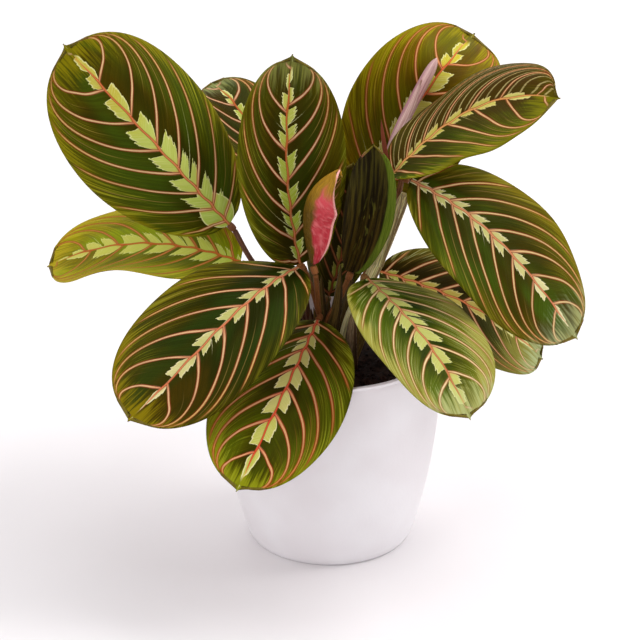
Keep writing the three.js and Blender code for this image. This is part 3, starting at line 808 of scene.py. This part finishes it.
LOOKS = {
    "dark": dict(
        dark=(40, 34, 0), dark_tip=(54, 42, 0), middle=(84, 74, 2), fresh=(43, 58, 4),
        margin=(98, 96, 10), streak=(125, 131, 42), patch=(150, 164, 50), patch_tip=(176, 176, 78),
        vein=(202, 162, 124), midrib=(186, 92, 44)),
    "cream": dict(
        dark=(27, 30, 0), dark_tip=(61, 45, 0), middle=(79, 69, 2), fresh=(37, 58, 11),
        margin=(124, 108, 8), streak=(126, 126, 30), patch=(176, 174, 100), patch_tip=(204, 196, 136),
        cream=(217, 207, 160), vein=(212, 167, 124), midrib=(206, 112, 74)),
    "olive": dict(
        dark=(42, 41, 0), dark_tip=(63, 50, 0), middle=(101, 88, 5), fresh=(60, 90, 11),
        margin=(119, 104, 10), streak=(134, 131, 42), patch=(182, 178, 108), patch_tip=(208, 200, 148),
        cream=(219, 211, 168), vein=(206, 174, 122), midrib=(202, 122, 84)),
    "red veined": dict(
        dark=(46, 41, 0), dark_tip=(50, 44, 0), middle=(104, 98, 4), fresh=(80, 96, 4),
        margin=(132, 136, 18), streak=(164, 170, 50), patch=(204, 198, 112), patch_tip=(178, 180, 72),
        cream=(232, 222, 172), vein=(216, 158, 110), vein_end=(188, 122, 56), vein_edge=(148, 40, 22),
        midrib=(222, 74, 50)),
    "golden": dict(
        dark=(66, 50, 0), dark_tip=(86, 60, 0), middle=(120, 94, 2), fresh=(102, 102, 4),
        margin=(134, 121, 8), streak=(167, 160, 25), patch=(176, 168, 74), patch_tip=(184, 170, 36),
        vein=(208, 146, 96), vein_end=(184, 128, 58), vein_edge=(134, 52, 20), midrib=(204, 92, 52)),
    "striped": dict(
        dark=(48, 45, 2), dark_tip=(65, 43, 6), middle=(82, 88, 6), fresh=(58, 92, 8),
        margin=(114, 110, 10), streak=(140, 138, 36), patch=(186, 174, 76), patch_tip=(196, 196, 104),
        cream=(206, 188, 122), vein=(214, 170, 120), vein_end=(196, 150, 86), midrib=(216, 150, 84)),
    "yellowed": dict(
        dark=(76, 84, 2), dark_tip=(116, 102, 8), middle=(160, 150, 10), fresh=(145, 162, 12),
        margin=(170, 152, 30), streak=(190, 176, 60), patch=(178, 184, 74), patch_tip=(186, 182, 84),
        cream=(206, 206, 124), vein=(188, 122, 60), vein_end=(176, 124, 46), vein_edge=(146, 82, 26),
        midrib=(184, 88, 36)),
    # Partly painted sheen: the pale greens of the margin and the streaks.
    "pale": dict(
        dark=(24, 40, 0), dark_tip=(60, 56, 2), middle=(106, 110, 12), fresh=(82, 102, 12),
        margin=(153, 147, 62), streak=(178, 182, 116), patch=(170, 174, 90), patch_tip=(178, 178, 94),
        cream=(206, 202, 142), vein=(218, 190, 142), vein_end=(190, 172, 110), vein_edge=(142, 84, 46),
        midrib=(190, 110, 70)),
    # Painted shade in the dark colours, and painted light in the pale margin and streaks of the exposed tip.
    "shaded": dict(
        dark=(34, 24, 2), dark_tip=(58, 48, 4), middle=(88, 72, 12), fresh=(65, 71, 13),
        margin=(128, 124, 48), streak=(176, 182, 123), patch=(178, 162, 70), patch_tip=(196, 200, 136),
        cream=(214, 202, 132)),
    # Painted shade: this leaf's colours are all darker, for the shade deep among the stalks.
    "inner": dict(
        dark=(34, 28, 4), dark_tip=(44, 36, 4), middle=(60, 54, 8), fresh=(50, 54, 8),
        margin=(82, 84, 14), streak=(104, 98, 40), patch=(112, 112, 36), patch_tip=(120, 112, 36),
        cream=(146, 140, 78), vein=(128, 78, 48), vein_end=(104, 70, 34), vein_edge=(66, 30, 14),
        midrib=(122, 62, 34)),
}


def make_leaves():
    underside = leaf_material("leaf underside", UNDERSIDE, {})
    for leaf in LEAVES:
        name = leaf["name"]
        under = rolled_material() if name == "leaf_12" else underside
        if name == "leaf_13":
            upper = folded_material()
        else:
            marks = {"seed": float(name[-2:]), **leaf.get("marks", {})}
            upper = leaf_material(name + " upper face", LOOKS.get(leaf.get("look"), {}), marks)
        leaf_piece(leaf, upper, under)


# Stalks and stems. Each tube has a kind: a bare stalk, a knee, a striped sheath or a red-brown spike.
STALK, KNEE, SHEATH, SPIKE = range(4)
SPEAR = dict(name="leaf_14", shoot="shoot_right", start=(31, 3, 182), via=[],
             points=[(31, 22, 218), (37, 28, 235), (48, 31, 259), (60, 31, 284)], radius=3.0,
             wrap=[(31.5, 21, 219), (37, 26, 235), (46, 28, 256), (51.5, 28.5, 272)])
SHOOTS = [
    dict(name="shoot_left", foot=(-10, 5), radius=3.6, stem=[(-11, 6, 124)],
         stalk=(104, 72, 56), sheath=(112, 84, 58),
         sheaths=[dict(points=[(-9, 3, 108), (-10, 1, 126), (-11, -1, 143)], radius=3.4)]),
    dict(name="shoot_centre", foot=(-2, -7), radius=3.4, stem=[(-3, -7, 122)],
         stalk=(122, 76, 40), sheath=(84, 66, 28),
         sheaths=[dict(points=[(-1, -9, 108), (0, -11, 128), (4, -10, 150), (6, -7, 174)], radius=5),
                  dict(points=[(-2, -9, 108), (-4, -8, 130), (-5, -6, 150), (-5, -5, 166)], radius=4.4),
                  dict(points=[(-3, -9, 108), (-6, -11, 126), (-9.5, -12, 149)], radius=3.6),
                  dict(points=[(1, -6, 108), (0, -5, 130), (-1, -4, 153)], radius=3.2)]),
    dict(name="shoot_right", foot=(8, 2), radius=3.9, stem_kind=SHEATH,
         stem=[(11, 2, 132), (27, 3, 170), (38, 4, 200), (42, 5, 212)],
         stalk=(150, 104, 70), sheath=(255, 242, 172), stripes=0.45,
         sheaths=[dict(points=[(26, 1, 168), (33, 0, 190), (38, -1, 207), (40.5, -1, 216)], radius=3.7),
                  dict(points=[(36, 6, 198), (33, 8, 222), (29.5, 9, 246), (28.5, 9, 256)], radius=1.9,
                       kind=SPIKE)]),
    dict(name="shoot_front", foot=(13, -8), radius=3.2, stem=[(14, -7, 124)],
         stalk=(118, 100, 52), sheath=(146, 124, 94),
         sheaths=[dict(points=[(12, -9, 108), (12, -12, 126), (13, -13, 142), (15, -13, 152)], radius=3.9)]),
    dict(name="shoot_back", foot=(0, 18), radius=3.6, stem=[(0, 19, 126)],
         stalk=(95, 90, 53), sheath=(90, 72, 40),
         sheaths=[dict(points=[(2, 15, 108), (4, 12, 130), (7, 11, 150)], radius=3.6),
                  dict(points=[(5, 13, 108), (8, 10, 128), (11, 9, 146), (13, 9, 158)], radius=4.6)]),
]


def between(first, last, k, start, end):
    """A blend of the first and the last place, by where k lies from start to end."""
    return first + (last - first) * (k - start) / (end - start)


def smooth_path(points, count):
    """So many points, evenly shared out, on a centripetal Catmull-Rom curve through the given ones."""
    p = [np.array(q, float) for q in points]
    p = [2 * p[0] - p[1], *p, 2 * p[-1] - p[-2]]
    spans = len(p) - 3
    path = []
    for t in np.linspace(0, spans, count):
        i = min(int(t), spans - 1)
        a, b, c, d = p[i:i + 4]
        knots = [0.0]
        for start, end in ((a, b), (b, c), (c, d)):
            knots.append(knots[-1] + max(np.linalg.norm(end - start) ** 0.5, 1e-4))
        k0, k1, k2, k3 = knots
        k = k1 + (t - i) * (k2 - k1)
        ab = between(a, b, k, k0, k1)
        bc = between(b, c, k, k1, k2)
        cd = between(c, d, k, k2, k3)
        path.append(between(between(ab, bc, k, k0, k2), between(bc, cd, k, k1, k3), k, k1, k2))
    return np.array(path)


def tube(bm, points, radius, kind, sides=20, rings=None, flat=1.0, lobe=0.0, seed=0.0):
    """A tube round a smooth path, closed at its ends. radius() gives its radius, 0 to 1 along it."""
    length = sum(np.linalg.norm(np.subtract(b, a)) for a, b in zip(points, points[1:]))
    rings = rings or max(12, int(length * RINGS_PER_MM))
    path = smooth_path(points, rings + 1)
    tangents = unit(np.gradient(path, axis=0))
    sideways = [unit(np.cross(tangents[0], START_SIDE))]
    for t in tangents[1:]:
        sideways.append(unit(sideways[-1] - t * (sideways[-1] @ t)))
    sideways = np.array(sideways)
    upwards = np.cross(tangents, sideways)

    def place(along, across):
        ring = np.rint(along * rings).astype(int)
        angle = across * np.pi
        closed = np.where((ring == 0) | (ring == rings), 0.0, 1.0)
        wide = radius(along) * closed * (1 + lobe * np.sin(3 * angle + 4 * along + seed))
        return (path[ring] + sideways[ring] * (wide * np.cos(angle))[:, None]
                + upwards[ring] * (wide * flat * np.sin(angle))[:, None])

    grain = bm.verts.layers.float_vector["grain"]
    made, along, across = mapped_grid(bm, rings, sides, place)
    for vertex, s, a in zip(made, along, across):
        vertex[grain] = (a, s * length, kind + seed * 0.01)
    bmesh.ops.remove_doubles(bm, verts=made, dist=POLE_WELD)


def knee_and_end(leaf):
    """Where a leaf's stalk ends under its blade, and the knee before it."""
    if "points" in leaf:
        first, second = [np.array(p, float) for p in leaf["points"][:2]]
        tangent = unit(second - first)
        end = first - tangent * GAP
    else:
        blade = Blade(leaf)
        normal, side = blade.frame(np.array(0.0))
        tangent = np.cross(side, normal)
        end = blade.base - normal * (BLADE_THICKNESS + KEEL_HEIGHT) / 2 - tangent * GAP
    return end - tangent * KNEE_LENGTH, end


def shoot_material(name, stalk, sheath, stripes):
    """Stems and stalks streaked along their length, redder at the knees, with striped sheaths round them."""
    material, tree, shader = new_material(name)
    around, along, kind = attribute(tree, "grain").parts()
    angle = around * math.pi
    cosine = angle.math("COSINE")
    sine = angle.math("SINE")
    streak = noise((cosine * 1.6, sine * 1.6, along * 0.035), scale=3.0, detail=3.0)
    fine = noise((cosine * 4, sine * 4, along * 0.1), scale=3.0)
    blotch = noise((cosine, sine, along * 0.12), scale=1.2)
    stripe = noise((cosine * 3.2, sine * 3.2, along * 0.012), scale=2.4)

    def tones(color):
        light = [min(255, v * 1.3 + 12) for v in color]
        shade = streak.rise(0.3, 0.6).mix(scaled(color, 0.62, 0.62, 0.62), tint(*color))
        return (fine.rise(0.5, 0.75) * 0.7).mix(shade, tint(*light))

    bare = (blotch.rise(0.5, 0.8) * 0.5).mix(tones(stalk), tint(96, 46, 26))
    bare = (kind.rise(KNEE - 0.1, KNEE + 0.1) * 0.7).mix(bare, tint(148, 92, 54))
    wrapped = (stripe.rise(0.5, 0.62) * stripes).mix(tones(sheath), scaled(sheath, 0.56, 0.64, 0.42))
    # Painted shade: one side of every sheath darker and browner.
    shaded_side = (cosine * -1.0 + (stripe - 0.5)).rise(0.5, 0.7)
    wrapped = (shaded_side * 0.85).mix(wrapped, scaled(sheath, 0.4, 0.3, 0.2))
    wrapped = kind.rise(SPIKE - 0.1, SPIKE).mix(wrapped, tint(122, 62, 44))
    color = kind.rise(SHEATH - 0.1, SHEATH).mix(bare, wrapped)
    relief = streak * 0.6 + stripe * 0.4
    dress(shader, color, (streak - 0.5) * 0.2 + 0.5, relief, 0.4, gloss=0.14, gloss_tint=(255, 226, 180))
    return material


def make_shoots():
    for shoot in SHOOTS:
        bm = bmesh.new()
        bm.verts.layers.float_vector.new("grain")
        x, y = shoot["foot"]
        ground = (x, y, SOIL_HEIGHT + 2 * SOIL_BUMP)
        foot = (x, y, SOIL_HEIGHT - STEM_DEPTH)
        wide = shoot["radius"]
        tube(bm, [foot, ground, *shoot["stem"]], lambda s: wide * (1 - 0.12 * s),
             shoot.get("stem_kind", STALK), sides=24, lobe=0.05)
        carried = [leaf for leaf in (*LEAVES, SPEAR) if leaf["shoot"] == shoot["name"]]
        for number, leaf in enumerate(carried):
            knee, end = knee_and_end(leaf)
            tube(bm, [leaf.get("start", ground), *leaf["via"], knee],
                 lambda s: STALK_RADIUS * (1.25 - 0.35 * np.clip(s * 2, 0, 1)), STALK, lobe=0.06, seed=number)
            tube(bm, [knee, (knee + end) / 2, end],
                 lambda s: KNEE_RADIUS * (0.86 + 0.14 * np.sin(np.pi * s)), KNEE, rings=KNEE_RINGS,
                 seed=number)
        for number, wrap in enumerate(shoot["sheaths"]):
            broad = wrap["radius"]
            tube(bm, wrap["points"], lambda s: broad * (1 - s ** 1.6) ** 0.8 + 0.25 * (1 - s),
                 wrap.get("kind", SHEATH), flat=0.72, lobe=0.04, seed=number)
        bmesh.ops.recalc_face_normals(bm, faces=bm.faces)
        skin = shoot_material(shoot["name"] + " skin", shoot["stalk"], shoot["sheath"],
                              shoot.get("stripes", 0.75))
        piece = finished(bm, shoot["name"] + "_stalks", skin)
        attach(piece, "root")
        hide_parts(shoot["name"])


# The youngest leaf, still a tight spear

def spear_material():
    """Pale pink with mauve streaks, painted mauve shade down one side, and brown along the edge of its outer
    wrap.
    """
    material, tree, shader = new_material("spear")
    around, along, kind = attribute(tree, "grain").parts()
    cosine = (around * math.pi).math("COSINE")
    sine = (around * math.pi).math("SINE")
    streak = noise((cosine * 2.0, sine * 2.0, along * 0.02), scale=2.6, detail=3.0)
    color = streak.rise(0.35, 0.62).mix(tint(184, 124, 130), tint(224, 182, 176))
    # Painted shade: one side of the spear darker and mauve.
    color = (cosine.rise(0.2, 0.9) * 0.5).mix(color, tint(150, 98, 122))
    color = (along.rise(52.0, 74.0) * 0.4).mix(color, tint(224, 196, 188))
    wrap = streak.rise(0.4, 0.6).mix(tint(190, 146, 140), tint(224, 192, 184))
    wrap = along.rise(50.0, 60.0).mix(wrap, tint(132, 84, 52))
    color = kind.rise(SHEATH - 0.1, SHEATH).mix(color, wrap)
    dress(shader, color, (streak - 0.5) * 0.2 + 0.5, streak, 0.3, gloss=0.3)
    return material


def make_spear():
    bm = bmesh.new()
    bm.verts.layers.float_vector.new("grain")
    wide = SPEAR["radius"]

    def spindle(s):
        return wide * (1 + 0.1 * np.sin(np.pi * s)) * (1 - 0.35 * (1 - s) ** 4) * (1 - s ** 24)

    def open_wrap(s):
        return wide * (1 - s ** 2.2) ** 0.7

    tube(bm, SPEAR["points"], spindle, STALK, sides=28, rings=80, lobe=0.08)
    tube(bm, SPEAR["wrap"], open_wrap, SHEATH, sides=28, rings=60, lobe=0.05, seed=1.0)
    bmesh.ops.recalc_face_normals(bm, faces=bm.faces)
    piece = finished(bm, "leaf_14_spear", spear_material())
    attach(piece, "root")
    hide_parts("leaf_14")


# Pot and soil

def pot_radius(z):
    h = z / POT_HEIGHT
    taper = POT_FOOT_RADIUS + (POT_RIM_RADIUS - POT_FOOT_RADIUS) * h
    return taper + POT_BULGE * 4 * h * (1 - h) * (1 - POT_BULGE_LEAN * h)


def pot_profile():
    """The pot's half section, from the middle of its underside round its rim to the middle of its floor."""
    profile = [(0, POT_HOLLOW), (POT_HOLLOW_RADIUS, POT_HOLLOW), (POT_RING_INNER, 0), (POT_RING_OUTER, 0)]
    profile += [(POT_RING_OUTER + POT_ROUND_WIDTH * math.sin(a), POT_ROUND_HEIGHT * (1 - math.cos(a)))
                for a in np.radians([25, 50, 75])]
    top = POT_HEIGHT - 2 * POT_GROOVE_DROP
    profile += [(pot_radius(z), z) for z in np.linspace(POT_ROUND_TOP, top, POT_WALL_ROWS)]
    groove_height = POT_HEIGHT - POT_GROOVE_DROP
    groove = pot_radius(groove_height) - POT_GROOVE_DEPTH
    profile += [(groove + 0.1, top + 0.7), (groove, groove_height)]
    profile += [(POT_RIM_RADIUS - 0.06, POT_HEIGHT - POT_LIP_HEIGHT - 0.25)]
    profile += [(POT_RIM_RADIUS + POT_LIP_RADIUS * (math.cos(a) - 1),
                 POT_HEIGHT + POT_LIP_RADIUS * (math.sin(a) - 1)) for a in np.radians([0, 30, 60, 90])]
    inner = POT_RIM_RADIUS - POT_WALL
    profile += [(inner + 0.5, POT_HEIGHT), (inner + 0.1, POT_HEIGHT - 0.3)]
    inside = np.linspace(POT_HEIGHT - 1.2, POT_FLOOR, POT_INSIDE_ROWS)
    return profile + [(pot_radius(z) - POT_WALL, z) for z in inside] + [(0, POT_FLOOR)]


def spun(bm, profile, turns):
    """A half section turned once round the Z axis."""
    rim = [bm.verts.new((r * MM, 0, z * MM)) for r, z in profile]
    edges = [bm.edges.new(pair) for pair in zip(rim, rim[1:])]
    bmesh.ops.spin(bm, geom=[*rim, *edges], cent=(0, 0, 0), axis=(0, 0, 1), angle=2 * math.pi,
                   steps=turns, use_merge=True)
    bmesh.ops.remove_doubles(bm, verts=bm.verts, dist=LATHE_WELD)
    bmesh.ops.recalc_face_normals(bm, faces=bm.faces)


def pot_material():
    material, tree, shader = new_material("white pot")
    place = place_on_piece(tree)
    speckle = noise(place, scale=420.0)
    cloud = noise(place, scale=22.0)
    color = cloud.rise(0.35, 0.7).mix(tint(234, 230, 233), tint(240, 238, 241))
    roughness = (speckle - 0.5) * 0.12 + (cloud - 0.5) * 0.1 + 0.42
    dress(shader, color, roughness, speckle * 0.5 + cloud, 0.12)
    return material


def make_pot():
    bm = bmesh.new()
    spun(bm, pot_profile(), POT_TURNS)
    piece = finished(bm, "pot_wall", pot_material())
    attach(piece, "root")
    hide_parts("pot")


def soil_bump(x, y):
    return SOIL_BUMP * (np.sin(0.21 * x + 0.9) * np.cos(0.17 * y) + 0.6 * np.sin(0.47 * x - 0.39 * y))


def soil_material():
    material, tree, shader = new_material("potting soil")
    place = place_on_piece(tree)
    crumb = noise(place, scale=260.0, detail=4.0, rough=0.65)
    lump = noise(place, scale=60.0, detail=3.0)
    color = crumb.rise(0.35, 0.7).mix(tint(20, 13, 11), tint(58, 42, 34))
    color = (lump.rise(0.55, 0.75) * 0.6).mix(color, tint(84, 60, 46))
    dress(shader, color, (crumb - 0.5) * 0.2 + 0.9, crumb, 1.2, gloss=0.2)
    return material


def add_crumb(bm, rng, spread):
    angle = rng.uniform(0, 2 * math.pi)
    reach = spread * math.sqrt(rng.uniform(0, 1))
    x, y = reach * math.cos(angle), reach * math.sin(angle)
    size = rng.uniform(*CRUMB_SIZES, 3) * CRUMB_FLATNESS
    turn = rng.uniform(0, math.pi)
    for vertex in bmesh.ops.create_icosphere(bm, subdivisions=1, radius=1)["verts"]:
        a, b, c = np.array(vertex.co) * size * rng.uniform(*CRUMB_DENTS)
        vertex.co = Vector((x + a * math.cos(turn) - b * math.sin(turn),
                            y + a * math.sin(turn) + b * math.cos(turn),
                            SOIL_HEIGHT + soil_bump(x, y) + c + CRUMB_LIFT)) * MM


def make_soil():
    """A closed plug of soil with an uneven top, and crumbs of bark and peat on it."""
    bm = bmesh.new()
    wall = [(pot_radius(z) - POT_WALL - 2 * GAP, z) for z in np.linspace(POT_FLOOR + GAP, SOIL_HEIGHT, 8)]
    reach = wall[-1][0]
    top = [(reach * (1 - i / SOIL_RINGS), SOIL_HEIGHT) for i in range(1, SOIL_RINGS + 1)]
    spun(bm, [(0, POT_FLOOR + GAP), *wall, *top], SOIL_TURNS)
    rng = np.random.default_rng(CRUMB_SEED)
    for vertex in bm.verts:
        x, y, z = vertex.co / MM
        if z > SOIL_HEIGHT - 0.01 and math.hypot(x, y) < reach - SOIL_EDGE:
            vertex.co.z = (SOIL_HEIGHT + soil_bump(x, y) + rng.uniform(*SOIL_GRAIN)) * MM
    for _ in range(CRUMBS):
        add_crumb(bm, rng, reach - CRUMB_CLEARANCE)
    piece = finished(bm, "soil_plug", soil_material())
    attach(piece, "root")
    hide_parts("soil")


# Floor, lights and camera

def make_stage():
    bm = bmesh.new()
    bmesh.ops.create_grid(bm, x_segments=1, y_segments=1, size=4)
    material, _, shader = new_material("pale floor")
    shader.inputs["Base Color"].default_value = tint(236, 233, 235)
    shader.inputs["Roughness"].default_value = 0.6
    floor = finished(bm, "floor", material)


def softbox(name, place, power, size, color=(1, 1, 1)):
    data = bpy.data.lights.new(name, "AREA")
    data.energy = power
    data.shape = "DISK"
    data.size = size
    data.color = color
    light = bpy.data.objects.new(name, data)
    light.location = place
    light.rotation_euler = (LOOK_AT - Vector(place)).to_track_quat("-Z", "Y").to_euler()
    bpy.context.scene.collection.objects.link(light)


def make_lights():
    softbox("window light", (1.3, 0.2, 1.6), 26, 1.2, (1.0, 0.99, 0.98))
    softbox("room light", (-1.3, -1.0, 1.5), 12, 1.6, (1.0, 0.985, 0.98))
    softbox("back light", (-0.3, 1.0, 2.0), 9, 1.2)
    world = bpy.data.worlds.new("room")
    world.use_nodes = True
    sky = world.node_tree.nodes["Background"]
    sky.inputs["Color"].default_value = (1.0, 0.985, 0.985, 1)
    sky.inputs["Strength"].default_value = 0.74
    bpy.context.scene.world = world


def make_camera():
    data = bpy.data.cameras.new("camera")
    data.sensor_width = CAMERA_SENSOR
    data.lens = CAMERA_LENS
    camera = bpy.data.objects.new("camera", data)
    back = Vector((0, -math.cos(CAMERA_ELEVATION), math.sin(CAMERA_ELEVATION)))
    camera.location = LOOK_AT + back * CAMERA_DISTANCE
    camera.rotation_euler = (math.pi / 2 - CAMERA_ELEVATION, 0, 0)
    bpy.context.scene.collection.objects.link(camera)
    bpy.context.scene.camera = camera


make_camera()
make_lights()
make_stage()
make_pot()
make_soil()
make_shoots()
make_leaves()
make_spear()
bpy.context.scene.view_settings.view_transform = "Standard"
